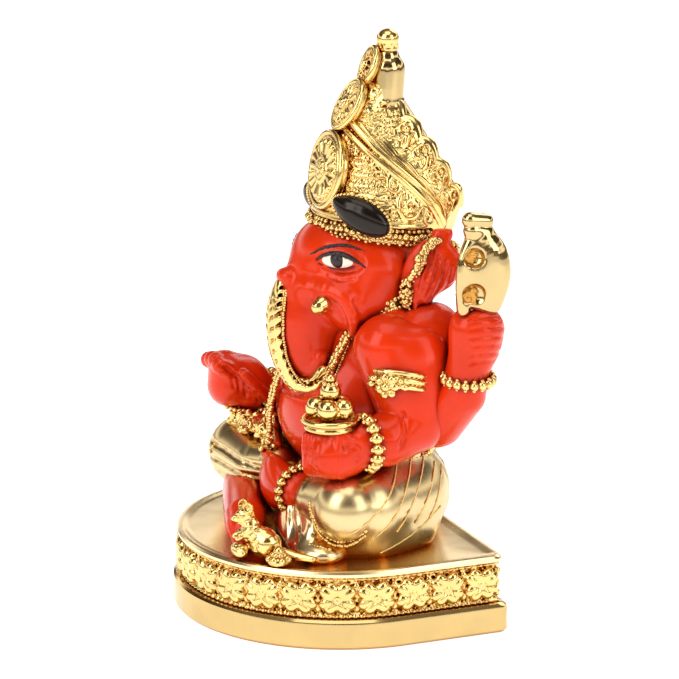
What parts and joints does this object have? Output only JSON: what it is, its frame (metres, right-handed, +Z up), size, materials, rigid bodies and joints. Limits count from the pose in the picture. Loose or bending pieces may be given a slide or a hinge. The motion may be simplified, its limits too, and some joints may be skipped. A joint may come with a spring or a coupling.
{
  "type": "ganesha idol",
  "caption": "Small seated Ganesha idol, gold plated with red enamel skin, a tall crown, held noose, goad and sweets, and a mouse, on a D-shaped plinth with a flower band.",
  "frame": {"origin": "middle of the plinth's underside", "axes": "+Z up; the figure faces -Y; its left side is +X; the flat back of the plinth faces +Y"},
  "size_m": [0.0532, 0.044, 0.09],
  "materials": {
    "gold_plate": "mirror-bright gold plating over a cast body",
    "red_enamel": "glossy red-orange enamel",
    "black_enamel": "glossy black enamel",
    "white_enamel": "glossy off-white enamel"
  },
  "bodies": {
    "root": {"crown_back_plate": "gold_plate", "crown_body": "gold_plate", "crown_brow_band": "gold_plate", "crown_finial": "gold_plate", "crown_front_medallion": "gold_plate", "crown_gem_left": "black_enamel", "crown_gem_right": "black_enamel", "crown_middle_medallion": "gold_plate", "crown_top_petal": "gold_plate", "crown_urn": "gold_plate", "dhoti": "gold_plate", "dhoti_front_pleat": "gold_plate", "floral_frieze": "gold_plate", "goad": "gold_plate", "head": "red_enamel", "left_anklet": "gold_plate", "left_armlet": "gold_plate", "left_ear": "red_enamel", "left_ear_ornament": "gold_plate", "left_eye": "white_enamel", "left_foot": "red_enamel", "left_tusk": "gold_plate", "lower_left_arm": "red_enamel", "lower_left_bangle": "gold_plate", "lower_right_arm": "red_enamel", "lower_right_bangle": "gold_plate", "mouse": "gold_plate", "mouse_sweets": "gold_plate", "necklace": "gold_plate", "noose": "gold_plate", "plinth_slab": "gold_plate", "plinth_tier": "gold_plate", "right_armlet": "gold_plate", "right_ear": "red_enamel", "right_ear_ornament": "gold_plate", "right_eye": "white_enamel", "right_lower_leg": "red_enamel", "right_tusk": "gold_plate", "sacred_thread": "gold_plate", "sweet_bowl": "gold_plate", "sweets": "gold_plate", "torso": "red_enamel", "trunk_ornament": "gold_plate", "upper_left_arm": "red_enamel", "upper_left_bangle": "gold_plate", "upper_right_arm": "red_enamel", "upper_right_bangle": "gold_plate", "waist_sash": "gold_plate"}
  },
  "joints": []
}
